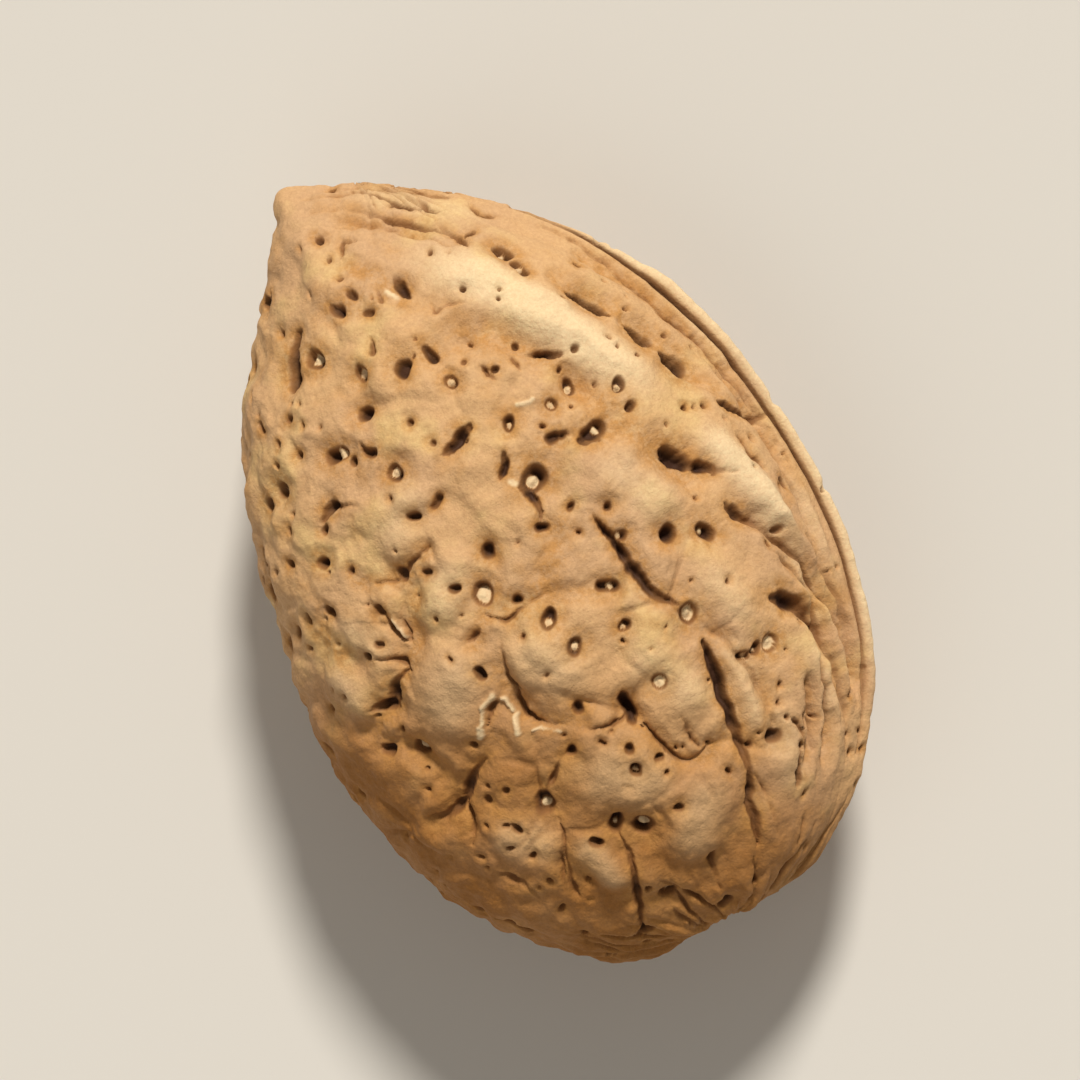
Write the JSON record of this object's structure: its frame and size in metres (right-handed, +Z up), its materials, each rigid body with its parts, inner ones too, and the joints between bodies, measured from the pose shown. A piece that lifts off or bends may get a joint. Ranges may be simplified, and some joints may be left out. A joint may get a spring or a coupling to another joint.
{
  "type": "almond in its shell",
  "caption": "Whole almond in its pitted woody shell: a flattened, pointed nut with a keel along one edge, lying on its cheek.",
  "frame": {"origin": "under the middle of the nut, on the surface that it lies on", "axes": "+Y along the nut from its stem end to its tip, +X towards the keel, +Z up through its thickness"},
  "size_m": [0.025, 0.038, 0.0156],
  "materials": {
    "shell": "dry, matte, finely granular shell, tan to ochre, with dark pits and furrows"
  },
  "bodies": {
    "root": {"almond": "shell"}
  },
  "joints": []
}
